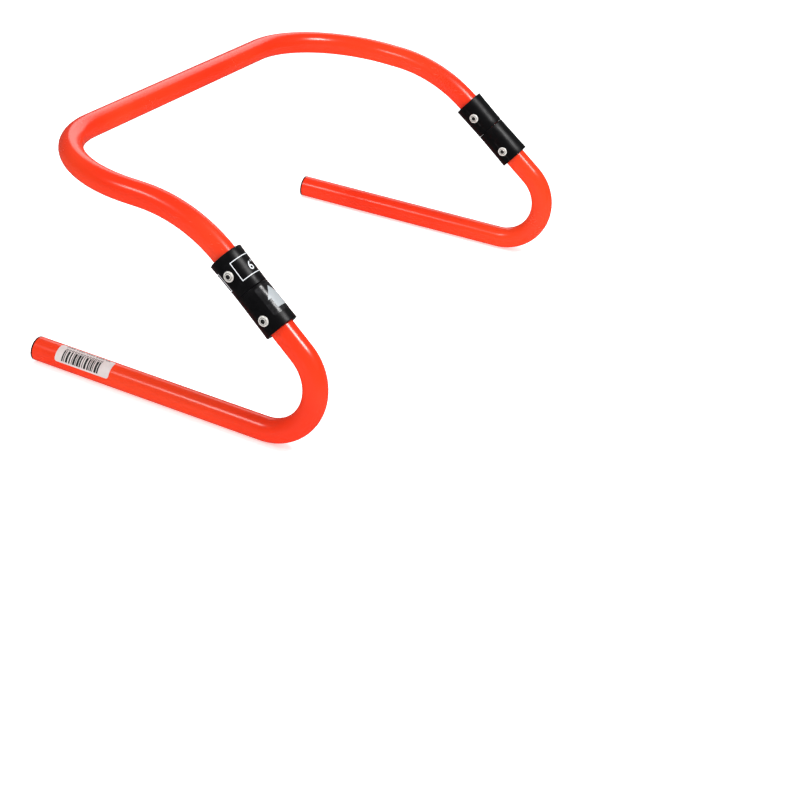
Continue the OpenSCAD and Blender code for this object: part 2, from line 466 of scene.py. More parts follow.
class Graph:
    """The node graph of one new material."""

    def __init__(self, name: str) -> None:
        """Starts a material with its Principled shader.

        Args:
            name: The material's name.
        """
        self.material = bpy.data.materials.new(name)
        self.material.use_nodes = True
        self.tree = self.material.node_tree
        self.shader = self.tree.nodes["Principled BSDF"]

    def node(
        self,
        kind: str,
        settings: dict[str, object] | None = None,
        inputs: dict[str | int, object] | None = None,
    ) -> bpy.types.Node:
        """Adds one node.

        Args:
            kind: The node's type name.
            settings: Properties that are set first.
            inputs: Values or links for its input sockets, by name or index.

        Returns:
            The new node.
        """
        node = self.tree.nodes.new(kind)
        for key, value in (settings or {}).items():
            setattr(node, key, value)
        for key, value in (inputs or {}).items():
            self.feed(node.inputs[key], value)
        return node

    def feed(self, socket: bpy.types.NodeSocket, value: object) -> None:
        """Links a socket to another one, or sets its value.

        Args:
            socket: The input socket.
            value: A Value, an output socket, a colour of three numbers or a plain value.
        """
        if isinstance(value, Value):
            value = value.socket
        if isinstance(value, bpy.types.NodeSocket):
            self.tree.links.new(value, socket)
        elif socket.type == "RGBA" and len(value) == 3:
            socket.default_value = (*value, 1.0)
        else:
            socket.default_value = value

    def principled(self, **sockets: object) -> None:
        """Sets sockets of the main shader, with _ for a space in their names."""
        for name, value in sockets.items():
            self.feed(self.shader.inputs[name.replace("_", " ")], value)

    def place(self) -> bpy.types.NodeSocket:
        """The point on the piece, in metres, in the object's own frame."""
        return self.node("ShaderNodeTexCoord").outputs["Object"]

    def attribute(self, name: str) -> Value:
        """An amount stored at the mesh's points, or 0 where there's none."""
        node = self.node("ShaderNodeAttribute", {"attribute_name": name})
        return Value(self, node.outputs["Fac"])

    def noise(
        self,
        scale: float,
        detail: float = 3.0,
        rough: float = 0.5,
        stretch: tuple[float, float, float] = (1.0, 1.0, 1.0),
    ) -> Value:
        """Noise over the piece.

        Args:
            scale: Cells in a metre.
            detail: Octaves.
            rough: Strength of the finer octaves.
            stretch: How the pattern is squeezed along each axis.

        Returns:
            The noise, about 0.5 on average.
        """
        squeeze = self.node(
            "ShaderNodeMapping", inputs={"Vector": self.place(), "Scale": stretch}
        )
        node = self.node(
            "ShaderNodeTexNoise",
            {"noise_dimensions": "3D"},
            {
                "Vector": squeeze.outputs["Vector"],
                "Scale": scale,
                "Detail": detail,
                "Roughness": rough,
            },
        )
        return Value(self, node.outputs["Fac"])

    def scratches(self, scale: float, turn: tuple[float, float, float], width: float) -> Value:
        """Long fine scratches in one direction, as 0 to 1.

        Args:
            scale: Scratches in a metre.
            turn: Turn of the pattern, in radians.
            width: Share of the surface that they take, about.

        Returns:
            The mask.
        """
        turned = self.node(
            "ShaderNodeMapping",
            inputs={"Vector": self.place(), "Rotation": turn, "Scale": (1.0, 0.06, 1.0)},
        )
        node = self.node(
            "ShaderNodeTexNoise",
            inputs={"Vector": turned.outputs["Vector"], "Scale": scale, "Detail": 2.0},
        )
        threshold = 0.74 - width
        return Value(self, node.outputs["Fac"]).ramp(threshold, threshold + 0.03)

    def mix(self, factor: Value, first: object, second: object) -> bpy.types.NodeSocket:
        """Mixes two colours.

        Args:
            factor: 0 gives the first, 1 the second.
            first: A colour or a colour socket.
            second: A colour or a colour socket.

        Returns:
            The mixed colour.
        """
        node = self.node("ShaderNodeMix", {"data_type": "RGBA"}, {"Factor": factor})
        colours = [s for s in node.inputs if s.type == "RGBA"]
        self.feed(colours[0], first)
        self.feed(colours[1], second)
        return next(s for s in node.outputs if s.type == "RGBA")

    def bump(self, height: Value, strength: float, distance: float) -> None:
        """Feeds a height into the shader's normal.

        Args:
            height: The height, from 0 to 1.
            strength: How strongly it shows.
            distance: The height of 1, in metres.
        """
        node = self.node(
            "ShaderNodeBump",
            inputs={"Strength": strength, "Distance": distance, "Height": height},
        )
        self.feed(self.shader.inputs["Normal"], node.outputs["Normal"])


# --- Finishes ---


@dataclass(frozen=True)
class Finish:
    """A named finish. Each kind fills its material's graph in its own way."""

    name: str

    def paint(self, g: Graph) -> None:
        """Sets the graph up."""
        raise NotImplementedError

    def make(self) -> bpy.types.Material:
        """Builds the material."""
        g = Graph(self.name)
        self.paint(g)
        return g.material


@dataclass(frozen=True)
class TubeFinish(Finish):
    """Glossy fluorescent red-orange plastic tube, with the waves and rubs of bending and use."""

    name: str = "orange_tube"
    colour: tuple[float, float, float] = (0.78, 0.026, 0.004)
    faded: tuple[float, float, float] = (0.83, 0.048, 0.010)
    scuff: tuple[float, float, float] = (0.90, 0.17, 0.10)
    gloss: float = 0.20

    def paint(self, g: Graph) -> None:
        """Sets the graph up."""
        cloud = g.noise(7.0, 2.0)
        wave = g.noise(38.0, 1.0)
        fine = g.noise(700.0, 3.0, 0.6)
        handled = g.noise(17.0, 2.0).ramp(0.52, 0.70)
        marks = handled * (
            g.scratches(800.0, (0.0, 0.0, 0.5), 0.06) * 0.6
            + g.scratches(650.0, (0.9, 0.3, -0.6), 0.05) * 0.4
        )
        g.principled(
            Base_Color=g.mix(
                marks * 0.5, g.mix(cloud.ramp(0.3, 0.72), self.colour, self.faded), self.scuff
            ),
            Roughness=self.gloss + fine * 0.05 + handled * 0.05 + marks * 0.2,
            IOR=1.5,
            Specular_IOR_Level=0.36,
            Subsurface_Weight=0.05,
            Subsurface_Radius=(0.003, 0.0008, 0.0004),
            Subsurface_Scale=0.6,
        )
        g.bump(wave * 0.8 + fine * 0.03 - marks * 0.04, 0.30, 0.0009)


@dataclass(frozen=True)
class MouldedFinish(Finish):
    """Satin black moulded plastic with a faint grain, smears and worn edges."""

    name: str
    colour: tuple[float, float, float] = (0.0022, 0.0020, 0.0025)
    worn: tuple[float, float, float] = (0.022, 0.022, 0.025)
    gloss: float = 0.26

    def paint(self, g: Graph) -> None:
        """Sets the graph up."""
        grain = g.noise(2600.0, 2.0, 0.6)
        smear = g.noise(75.0, 3.0, 0.6)
        dent = g.noise(120.0, 1.0)
        edge = Value(g, g.node("ShaderNodeNewGeometry").outputs["Pointiness"])
        rub = edge.ramp(0.53, 0.62) * g.noise(600.0, 3.0).ramp(0.35, 0.65)
        marks = g.scratches(1500.0, (0.3, 0.0, 1.1), 0.05) * smear.ramp(0.5, 0.66)
        g.principled(
            Base_Color=g.mix(
                rub * 0.6 + marks * 0.5 + smear.ramp(0.55, 0.8) * 0.12, self.colour, self.worn
            ),
            Roughness=self.gloss + smear * 0.16 + grain * 0.05 + marks * 0.15,
            IOR=1.5,
            Specular_IOR_Level=0.18,
        )
        g.bump(grain * 0.08 + dent * 0.92 - marks * 0.05, 0.5, 0.0007)


@dataclass(frozen=True)
class MetalFinish(Finish):
    """Bare metal with faint pressing marks and dulling, and painted shade where its mesh marks
    it.
    """

    name: str
    colour: tuple[float, float, float]
    dull: tuple[float, float, float]
    gloss: float
    # Near-black colour of the painted shade in a rivet's hole and groove.
    grime: tuple[float, float, float] = (0.003, 0.003, 0.003)
    metallic: float = 0.35

    def paint(self, g: Graph) -> None:
        """Sets the graph up."""
        patch = g.noise(900.0, 3.0)
        fine = g.noise(5200.0, 2.0, 0.7)
        nicks = g.scratches(4000.0, (0.4, 0.7, 0.2), 0.04)
        # Painted shade: the colour goes near black where the mesh marks the hole and the groove.
        grime = g.attribute(PAINTED_SHADE)
        metal = g.mix(patch.ramp(0.42, 0.75) + nicks * 0.3, self.colour, self.dull)
        g.principled(
            Base_Color=g.mix(grime * (0.8 + fine * 0.4), metal, self.grime),
            Metallic=self.metallic,
            Roughness=self.gloss + patch * 0.18 + fine * 0.08 + grime * 0.3,
        )
        g.bump(fine * 0.3 + patch * 0.6 - nicks * 0.1, 0.3, 0.0001)


@dataclass(frozen=True)
class NylonFinish(Finish):
    """Natural nylon, slightly see-through, for the core inside the tubes."""

    name: str = "core_nylon"
    colour: tuple[float, float, float] = (0.66, 0.62, 0.50)
    shade: tuple[float, float, float] = (0.52, 0.48, 0.37)

    def paint(self, g: Graph) -> None:
        """Sets the graph up."""
        cloud = g.noise(160.0, 3.0)
        g.principled(
            Base_Color=g.mix(cloud.ramp(0.3, 0.7), self.colour, self.shade),
            Roughness=0.38 + cloud * 0.15,
            Subsurface_Weight=0.2,
            Subsurface_Scale=0.002,
        )
        g.bump(g.noise(1800.0, 2.0), 0.2, 0.00008)


@dataclass(frozen=True)
class PaperFinish(Finish):
    """Coated white paper, faintly yellowed, with the tube's colour showing through."""

    name: str = "label_paper"
    colour: tuple[float, float, float] = (0.66, 0.60, 0.59)
    aged: tuple[float, float, float] = (0.56, 0.45, 0.43)

    def paint(self, g: Graph) -> None:
        """Sets the graph up."""
        fibre = g.noise(3200.0, 4.0, 0.7)
        stain = g.noise(90.0, 3.0)
        crease = g.scratches(500.0, (0.0, 0.0, 1.3), 0.07)
        g.principled(
            Base_Color=g.mix(
                stain.ramp(0.45, 0.85) * 0.5 + crease * 0.25, self.colour, self.aged
            ),
            Roughness=0.40 + fibre * 0.18,
        )
        g.bump(fibre * 0.2 + stain * 0.6 + crease * 0.2, 0.3, 0.00015)


@dataclass(frozen=True)
class InkFinish(Finish):
    """Printed ink with a little mottle and thin spots in its cover."""

    name: str
    colour: tuple[float, float, float]
    thin: tuple[float, float, float]
    gloss: float = 0.36

    def paint(self, g: Graph) -> None:
        """Sets the graph up."""
        mottle = g.noise(1500.0, 3.0, 0.65)
        wear = g.noise(260.0, 4.0, 0.7).ramp(0.56, 0.72)
        g.principled(
            Base_Color=g.mix(
                mottle.ramp(0.55, 0.8) * 0.6 + wear * 0.4, self.colour, self.thin
            ),
            Roughness=self.gloss + mottle * 0.15,
        )
        g.bump(mottle, 0.15, 0.00005)


@dataclass(frozen=True)
class FilmFinish(Finish):
    """Clear glossy film over black plastic, slightly hazy."""

    name: str = "clear_film"
    colour: tuple[float, float, float] = (0.010, 0.0098, 0.0105)
    haze: tuple[float, float, float] = (0.026, 0.026, 0.028)

    def paint(self, g: Graph) -> None:
        """Sets the graph up."""
        cloud = g.noise(210.0, 4.0, 0.65)
        wrinkle = g.noise(130.0, 2.0)
        g.principled(
            Base_Color=g.mix(cloud.ramp(0.42, 0.75), self.colour, self.haze),
            Roughness=0.14 + cloud * 0.14,
            Specular_IOR_Level=0.22,
        )
        g.bump(wrinkle, 0.5, 0.0006)


@dataclass(frozen=True)
class FloorFinish(Finish):
    """Seamless pale studio paper."""

    name: str = "studio_floor"
    colour: tuple[float, float, float] = (0.93, 0.93, 0.93)
    shade: tuple[float, float, float] = (0.91, 0.91, 0.91)

    def paint(self, g: Graph) -> None:
        """Sets the graph up."""
        g.principled(
            Base_Color=g.mix(g.noise(400.0, 3.0), self.colour, self.shade),
            Roughness=0.9,
            Specular_IOR_Level=0.1,
            Emission_Color=(1.0, 1.0, 1.0),
            Emission_Strength=0.5,
        )


@dataclass
class Paints:
    """Every finish, made once. A CAD node takes the one named like its name's last word."""

    tube: bpy.types.Material = field(default_factory=TubeFinish().make)
    sleeve: bpy.types.Material = field(default_factory=MouldedFinish("black_sleeve").make)
    cap: bpy.types.Material = field(default_factory=MouldedFinish("black_cap", gloss=0.38).make)
    rivet: bpy.types.Material = field(
        default_factory=MetalFinish(
            "rivet_aluminium", (0.86, 0.84, 0.80), (0.60, 0.57, 0.53), 0.20
        ).make
    )
    # The pin's near-black colour is painted shade for the deep hole of the rivet. It is not the
    # steel's own colour.
    mandrel: bpy.types.Material = field(
        default_factory=MetalFinish(
            "mandrel_steel", (0.035, 0.031, 0.03), (0.01, 0.009, 0.008), 0.5
        ).make
    )
    core: bpy.types.Material = field(default_factory=NylonFinish().make)
    label: bpy.types.Material = field(default_factory=PaperFinish().make)
    film: bpy.types.Material = field(default_factory=FilmFinish().make)
    white_ink: bpy.types.Material = field(
        default_factory=InkFinish("white_ink", (0.80, 0.83, 0.86), (0.52, 0.54, 0.57)).make
    )
    grey_ink: bpy.types.Material = field(
        default_factory=InkFinish("grey_ink", (0.39, 0.42, 0.44), (0.28, 0.30, 0.32)).make
    )
    black_ink: bpy.types.Material = field(
        default_factory=InkFinish("black_ink", (0.002, 0.002, 0.002), (0.02, 0.018, 0.018)).make
    )


def dress_frame(nodes: dict[str, bpy.types.Object], paints: Paints) -> None:
    """Gives every CAD node its material.

    Args:
        nodes: The CAD nodes by name.
        paints: The finishes.
    """
    for name, node in nodes.items():
        node.data.materials.clear()
        node.data.materials.append(getattr(paints, name.rsplit("_", 1)[-1]))
        log.info("dressed %s", name)


# --- Places ---


@dataclass(frozen=True)
class LegPlace:
    """A leg's own frame: origin in the gap between the sleeves, +Z up the leg, +X outwards."""

    side: Side
    matrix: Matrix

    @classmethod
    def from_joint(cls, side: Side, joint: dict) -> LegPlace:
        """Reads a leg's frame from the joint that its foot turns on.

        Args:
            side: The leg's side.
            joint: The joint's entry in the record.

        Returns:
            The frame.
        """
        up = Vector(joint["axis"]).normalized()
        if up.z < 0:
            up = -up
        out = Vector((side.value, 0.0, 0.0))
        out = (out - out.dot(up) * up).normalized()
        front = up.cross(out)
        turn = Matrix((out, front, up)).transposed()
        return cls(side, Matrix.Translation(Vector(joint["pos_m"])) @ turn.to_4x4())

    def at_rivet(self, height: float, face: Face) -> Matrix:
        """Where a piece whose own +Z is out of the leg goes, at a height on one face."""
        about_leg = Matrix.Rotation(math.radians(face.value), 4, "Z")
        outwards = Matrix.Rotation(math.radians(90.0), 4, "Y")
        return self.matrix @ about_leg @ Matrix.Translation((0, 0, height)) @ outwards


@dataclass(frozen=True)
class TipPlace:
    """A foot's own frame: origin at the tip, +Z out of the tip, +X up."""

    matrix: Matrix

    @classmethod
    def from_mount(cls, mount: dict, cap_rim: float) -> TipPlace:
        """Reads a tip's frame from the foot's mount.

        Args:
            mount: The mount's entry in the record.
            cap_rim: Thickness of the cap's rim beyond the mount's end.

        Returns:
            The frame.
        """
        out = Vector(mount["axis"]).normalized()
        reach = mount["dims"]["length_mm"] * MM / 2 + cap_rim
        up = Vector((0.0, 0.0, 1.0))
        turn = Matrix((up, out.cross(up), out)).transposed()
        return cls(Matrix.Translation(Vector(mount["pos_m"]) + out * reach) @ turn.to_4x4())


# --- Sleeves ---


@dataclass
class SleeveHalf:
    """One half of the sleeve over a leg's joint: a thick moulded tube that widens outwards."""

    half: Half
    length: float
    gap_radius: float = 12.8 * MM
    end_radius: float = 13.4 * MM
    bore: float = 9.56 * MM
    gap: float = 0.06 * MM
    edge: float = 0.45 * MM
    waist: float = 0.12 * MM
    waist_shares: tuple[float, ...] = (0.2, 0.4, 0.6, 0.8)
    seat_radius: float = 4.45 * MM
    seat_height: float = 12.56 * MM
    seat_flare: float = 0.48 * MM
    segments: int = 128
    cutter_segments: int = 48
    edge_steps: int = 3
    sharp: float = 35.0

    def radius_at(self, height: float) -> float:
        """The outside radius at a height above or below the gap."""
        return self.gap_radius + (self.end_radius - self.gap_radius) * min(
            1.0, abs(height) / self.length
        )

    def _profile(self) -> Points:
        """The (radius, height) points of the wall, round from the bore at the gap and back."""
        edge, steps = self.edge, self.edge_steps
        start = (self.bore, self.gap)
        at_gap = (self.gap_radius - edge, self.gap + edge)
        at_end = (self.end_radius - edge, self.length - edge)
        stations = [share * self.length for share in self.waist_shares]
        return [
            start,
            *arc(at_gap, (edge, edge), (270.0, 360.0), steps),
            *((self.radius_at(height) - self.waist, height) for height in stations),
            *arc(at_end, (edge, edge), (0.0, 90.0), steps),
            (self.bore + edge, self.length),
            (self.bore, self.length - edge),
            start,
        ]

    def build(self, name: str, rivet_height: float) -> Piece:
        """Models the half in the leg's frame.

        Args:
            name: The piece's name.
            rivet_height: Distance of its rivets from the gap.

        Returns:
            The piece.
        """
        piece = Piece.turned(name, self._profile(), self.segments)
        for face in Face:
            piece.carve(self._seat_cutter(rivet_height, face))
        if self.half is Half.LOWER:
            piece.spin(180.0, "X")
        piece.smooth(self.sharp)
        return piece

    def _seat_cutter(self, height: float, face: Face) -> Piece:
        """The round cutter that leaves the flat under one rivet head."""
        profile = [
            (self.seat_radius, self.seat_height),
            (self.seat_radius, self.seat_height + self.waist),
            (self.seat_radius + self.seat_flare, self.end_radius + MM),
        ]
        cutter = Piece.turned("seat_cutter", profile, self.cutter_segments)
        cutter.spin(90.0, "Y")
        cutter.move(Vector((0, 0, height)))
        cutter.spin(face.value, "Z")
        return cutter


# --- Rivets ---


@dataclass
class BlindRivet:
    """A domed blind rivet: flange, raised collar round the hole, shank and set tail."""

    seat: float = 12.6 * MM
    flange_radius: float = 4.1 * MM
    flange_edge: float = 0.12 * MM
    collar_radius: float = 2.42 * MM
    hole_radius: float = 1.45 * MM
    hole_flare: float = 0.32 * MM
    groove: float = 0.55 * MM
    groove_depth: float = 0.45 * MM
    height: float = 1.5 * MM
    dome_low: float = 0.45 * MM
    dome_high: float = 1.29 * MM
    dome_steps: int = 7
    shank_radius: float = 1.98 * MM
    tail_radius: float = 2.8 * MM
    tail: float = 2.6 * MM
    tail_taper: float = 0.6 * MM
    # How much painted shade the groove round the collar takes.
    groove_grime: float = 0.8
    segments: int = 64
    sharp: float = 40.0

    def _head(self) -> Points:
        """The head's (radius, height) points from the hole's rim out to the seat."""
        flange, collar = self.flange_radius, self.collar_radius
        hole, top = self.hole_radius, self.height
        inner = collar + self.groove
        floor = self.dome_high - self.groove_depth
        return [
            (hole, top * 0.25),
            (hole + 0.12 * MM, top * 0.65),
            (hole + 0.30 * MM, top * 0.92),
            (hole + 0.42 * MM, top),
            (collar - 0.14 * MM, top * 0.985),
            (collar - 0.02 * MM, top * 0.90),
            (collar + 0.06 * MM, floor),
            (inner - 0.18 * MM, floor + 0.05 * MM),
            *arc(
                (inner, self.dome_low),
                (flange - inner, self.dome_high - self.dome_low),
                (90.0, 0.0),
                self.dome_steps,
            ),
            (flange, self.flange_edge),
            (flange - self.flange_edge, 0.0),
        ]

    def build(self, name: str, grip: float) -> Piece:
        """Models one rivet with +Z out of its head and its origin on the leg's axis.

        Args:
            name: The piece's name.
            grip: Height of the tail's top.

        Returns:
            The piece.
        """
        taper, tail, tail_radius = self.tail_taper, self.tail, self.tail_radius
        points = [(radius, self.seat + height) for radius, height in self._head()]
        points += [
            (self.shank_radius, self.seat),
            (self.shank_radius, grip),
            (tail_radius - taper, grip),
            (tail_radius, grip - taper),
            (tail_radius, grip - tail + taper),
            (tail_radius - taper, grip - tail),
            (self.hole_radius, grip - tail),
            points[0],
        ]
        piece = Piece.turned(name, points, self.segments)
        # Marks the painted shade in the hole and in the groove round the collar.
        piece.mark(PAINTED_SHADE, self._grime_at)
        piece.smooth(self.sharp)
        return piece

    def _grime_at(self, point: Vector) -> float:
        """Painted shade in the hole and in the groove round the collar."""
        reach = math.hypot(point.x, point.y)
        if reach < self.hole_radius + self.hole_flare:
            return 1.0
        past_collar = reach - self.collar_radius
        return self.groove_grime if 0.0 <= past_collar < self.groove - 0.1 * MM else 0.0


@dataclass
class Mandrel:
    """The broken-off pin inside a rivet, with the torn point of its break."""

    radius: float = 1.38 * MM
    depth: float = 1.1 * MM
    point: float = 0.35 * MM
    seat: float = 12.6 * MM
    head_height: float = 1.5 * MM
    segments: int = 32
    sharp: float = 50.0

    def build(self, name: str, foot: float, standing: float) -> Piece:
        """Models one pin with +Z out of the rivet's head and its origin on the leg's axis.

        Args:
            name: The piece's name.
            foot: Height of its inner end.
            standing: How much further out than usual it broke off.

        Returns:
            The piece.
        """
        top = self.seat + self.head_height - self.depth + standing
        points = [
            (self.radius, foot),
            (self.radius, top),
            (self.radius * 0.86, top + self.point * 0.3),
            (self.radius * 0.62, top + self.point * 0.35),
            (self.radius * 0.40, top + self.point),
            (self.radius * 0.14, top + self.point * 0.8),
        ]
        piece = Piece.turned(name, points, self.segments)
        piece.smooth(self.sharp)
        return piece


# --- Leg joint: sleeves and rivets of one leg ---


@dataclass
class LegJoint:
    """The two sleeve halves of one leg with their rivets and pins."""

    place: LegPlace
    paints: Paints
    upper_length: float = 31.0 * MM
    lower_length: float = 34.5 * MM
    upper_rivet: float = 16.5 * MM
    lower_rivet: float = 23.5 * MM
    core_grip: float = 3.99 * MM
    tube_grip: float = 7.33 * MM
    long_pin: float = 0.5 * MM

    def sleeve(self, half: Half) -> SleeveHalf:
        """The sizes of one half."""
        return SleeveHalf(half, self.upper_length if half is Half.UPPER else self.lower_length)

    def body(self, half: Half) -> str:
        """The CAD body that one half moves with."""
        return "arch" if half is Half.UPPER else f"{self.place.side.word}_foot"

    def build(self) -> None:
        """Models and dresses both halves."""
        for half in Half:
            rivet_height = self.upper_rivet if half is Half.UPPER else self.lower_rivet
            name = f"{self.place.side.word}_{half.word}_sleeve"
            sleeve = self.sleeve(half).build(f"{name}_moulding", rivet_height)
            sleeve.put(self.place.matrix)
            sleeve.finish(self.body(half), "black_sleeve", self.paints.sleeve, [name])
            self._rivets(half, rivet_height * half.value)

    def _rivets(self, half: Half, height: float) -> None:
        """Models and dresses both rivets of one half and their pins."""
        grip = self.core_grip if half is Half.UPPER else self.tube_grip
        body = self.body(half)
        for face in Face:
            stem = f"{self.place.side.word}_{half.word}_{face.word}"
            where = self.place.at_rivet(height, face)
            blind = BlindRivet()
            rivet = blind.build(f"{stem}_rivet_set", grip)
            rivet.put(where)
            rivet.finish(body, "rivet_aluminium", self.paints.rivet, [f"{stem}_rivet"])
            standing = self.long_pin if (half, face) == (Half.LOWER, Face.INNER) else 0.0
            pin = Mandrel().build(f"{stem}_mandrel_end", grip - blind.tail, standing)
            pin.put(where)
            pin.finish(body, "mandrel_steel", self.paints.mandrel, [f"{stem}_mandrel"])


# --- Printed marks ---


@dataclass
class HeightMarks:
    """The printed height boxes on the upper half and the arrow on the lower one."""

    leg: LegJoint
    paints: Paints
    line: float = 0.58 * MM
    box_middle: float = 15.4 * MM
    box_height: float = 15.8 * MM
    box_turn: float = 90.0
    box_wrap: float = 124.0
    figure_height: float = 6.8 * MM
    figure_middle: float = 13.9 * MM
    figure_turn: float = -5.0
    stroke: float = 0.02 * MM
    tick_length: float = 1.5 * MM
    tick_pitch: float = 1.3 * MM
    tick_drop: float = 0.3 * MM
    arrow_turn: float = 90.0
    arrow_top: float = -4.7 * MM
    arrow_neck: float = -13.9 * MM
    arrow_end: float = -22.0 * MM
    arrow_half: float = 8.0 * MM
    shaft_half: float = 5.1 * MM
    film_wrap: float = 104.0
    film_top: float = -2.4 * MM
    film_end: float = -25.6 * MM
    thickness: float = 0.03 * MM
    lift: float = 0.02 * MM
    strip: float = 0.6 * MM
    course: float = 2.4 * MM
    film_corner: float = 1.2 * MM
    sharp: float = 30.0

    def build(self) -> None:
        """Models and dresses all marks."""
        body = self.leg.body(Half.UPPER)
        self._box("box_low", "6", 0.0).finish(body, "black_sleeve", self.paints.white_ink)
        self._box("box_high", "12", 180.0).finish(body, "black_sleeve", self.paints.white_ink)
        foot = self.leg.body(Half.LOWER)
        self._clear_film().finish(foot, "black_sleeve", self.paints.film)
        self._arrow().finish(foot, "black_sleeve", self.paints.grey_ink)

    def _on_sleeve(self, piece: Piece, half: Half, turn: float, layer: int) -> Piece:
        """Wraps a flat mark on a half.

        Args:
            piece: The mark, flat, with its heights as on the leg.
            half: The half that carries it.
            turn: Its middle's turn from the outward direction.
            layer: How many marks lie under it.

        Returns:
            The same mark, in place.
        """
        sleeve = self.leg.sleeve(half)
        piece.slice(Vector((1, 0, 0)), self.strip)
        piece.slice(Vector((0, 1, 0)), self.course)
        piece.wrap(sleeve.radius_at, 0.0)
        piece.apply("SOLIDIFY", thickness=self.thickness, offset=1.0)
        lift = self.lift + layer * (self.thickness + self.lift)
        for vertex in piece.obj.data.vertices:
            reach = math.hypot(vertex.co.x, vertex.co.y)
            vertex.co.x *= 1.0 + lift / reach
            vertex.co.y *= 1.0 + lift / reach
        piece.smooth(self.sharp)
        piece.spin(turn, "Z")
        piece.put(self.leg.place.matrix)
        return piece

    def _box(self, name: str, figures: str, turn: float) -> Piece:
        """A box outline with a height in inches inside."""
        radius = self.leg.sleeve(Half.UPPER).gap_radius
        width = arc_length(self.box_wrap, radius)
        box = Piece.sheet(name, width, self.box_height)
        box.frame_out(self.line)
        box.move(Vector((0, self.box_middle, 0)))
        shift = arc_length(self.figure_turn, radius)
        number = Piece.numeral(f"{name}_figures", figures, self.figure_height, self.stroke)
        number.move(Vector((shift, self.figure_middle, 0)))
        reach = number.limits()[1]
        ticks = []
        for i in range(2):
            tick = Piece.sheet(f"{name}_tick", self.line, self.tick_length)
            across = reach.x + self.tick_pitch * (i + 1)
            tick.move(Vector((across, reach.y - self.tick_drop, 0)))
            ticks.append(tick)
        box.join([number, *ticks])
        return self._on_sleeve(box, Half.UPPER, self.box_turn + turn, 0)

    def _arrow(self) -> Piece:
        """The broad arrow that points to the height in use."""
        arrow = Piece.sheet("arrow", 2 * self.shaft_half, self.arrow_neck - self.arrow_end)
        arrow.move(Vector((0, (self.arrow_neck + self.arrow_end) / 2, 0)))
        head_middle = (self.arrow_top + self.arrow_neck) / 2
        head = Piece.sheet("arrow_head", 2 * self.arrow_half, self.arrow_top - self.arrow_neck)
        head.move(Vector((0, head_middle, 0)))
        head.edit()
        bpy.ops.mesh.select_all(action="DESELECT")
        head.done()
        for vertex in head.obj.data.vertices:
            vertex.select = vertex.co.y > head_middle
        bpy.ops.object.mode_set(mode="EDIT")
        bpy.ops.mesh.merge(type="CENTER")
        head.done()
        arrow.join([head])
        return self._on_sleeve(arrow, Half.LOWER, self.arrow_turn, 1)

    def _clear_film(self) -> Piece:
        """The clear film that carries the arrow."""
        width = arc_length(self.film_wrap, self.leg.sleeve(Half.LOWER).gap_radius)
        film = Piece.sheet("arrow_film", width, self.film_top - self.film_end)
        film.round_corners(self.film_corner, 5)
        film.move(Vector((0, (self.film_top + self.film_end) / 2, 0)))
        return self._on_sleeve(film, Half.LOWER, self.arrow_turn, 0)


# --- Foot ends ---


@dataclass
class EndCap:
    """The black plug in a foot's tip, with a round rim and a shallow dished face."""

    place: TipPlace
    side: Side
    radius: float = 9.5 * MM
    rim: float = 1.5 * MM
    edge: float = 0.5 * MM
    plug_radius: float = 7.65 * MM
    plug: float = 12.0 * MM
    wall: float = 1.6 * MM
    dish_radius: float = 6.6 * MM
    dish: float = 0.35 * MM
    gate_radius: float = 0.9 * MM
    gate_height: float = 0.22 * MM
    ribs: int = 4
    rib: float = 0.04 * MM
    segments: int = 96
    sharp: float = 35.0

    def build(self, material: bpy.types.Material) -> None:
        """Models and dresses the cap."""
        profile = [*self._face(), *self._plug()]
        name = f"{self.side.word}_end_cap"
        piece = Piece.turned(f"{name}_plug", profile, self.segments)
        piece.smooth(self.sharp)
        piece.put(self.place.matrix)
        piece.finish(f"{self.side.word}_foot", "black_cap", material, [name])

    def _face(self) -> Points:
        """The (radius, height) points from the gate mark in the middle over the rim's edge."""
        floor, edge = -self.dish, self.edge
        return [
            (self.gate_radius, floor + self.gate_height),
            (self.gate_radius + 0.15 * MM, floor),
            (self.dish_radius - self.dish, floor),
            (self.dish_radius, -self.dish * 0.3),
            (self.dish_radius + self.dish, 0.0),
            *arc((self.radius - edge, -edge), (edge, edge), (90.0, 0.0), 4),
            (self.radius, -self.rim),
        ]

    def _plug(self) -> Points:
        """The (radius, height) points along the ribbed plug and back inside it."""
        end = -self.rim - self.plug
        step = self.plug / (self.ribs + 1)
        points = [(self.plug_radius, -self.rim)]
        for i in range(1, self.ribs + 1):
            height = -self.rim - step * i
            points += [
                (self.plug_radius - self.rib, height + step * 0.3),
                (self.plug_radius, height),
                (self.plug_radius - self.rib, height - step * 0.3),
            ]
        inner, roof = self.plug_radius - self.wall, -self.rim - self.wall
        points += [(self.plug_radius - self.edge, end), (inner, end)]
        points += [(inner, roof), (self.gate_radius, roof)]
        return points


